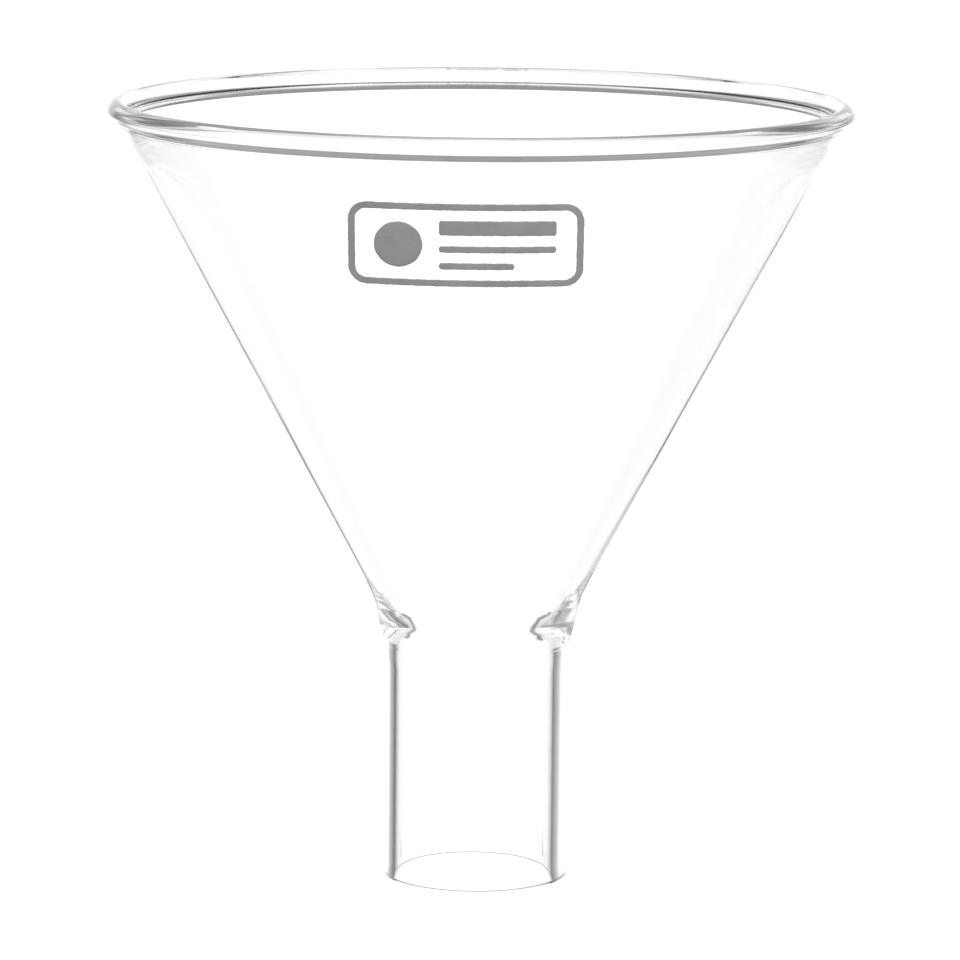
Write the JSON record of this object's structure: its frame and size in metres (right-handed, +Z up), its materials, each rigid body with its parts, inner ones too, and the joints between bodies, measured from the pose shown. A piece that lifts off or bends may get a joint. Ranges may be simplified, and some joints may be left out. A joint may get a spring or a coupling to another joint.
{
  "type": "powder funnel",
  "caption": "Clear glass powder funnel with a beaded rim, a plain cone and a short wide stem with a flat foot, and a grey enamel label field on the cone.",
  "frame": {"origin": "centre of the flat lower end of the stem, which is the bottom of the part", "axes": "+Z up along the funnel's axis, from the stem to the mouth; the enamel label field faces -Y"},
  "size_m": [0.1, 0.1, 0.1062],
  "materials": {
    "clear_glass": "clear, fire-polished",
    "grey_enamel": "satin fired enamel"
  },
  "bodies": {
    "root": {"stem_tube": "clear_glass", "neck_seal": "clear_glass", "cone": "clear_glass", "rim_bead": "clear_glass", "label_frame": "grey_enamel", "label_dot": "grey_enamel", "label_rule_1": "grey_enamel", "label_rule_2": "grey_enamel", "label_rule_3": "grey_enamel"}
  },
  "joints": []
}
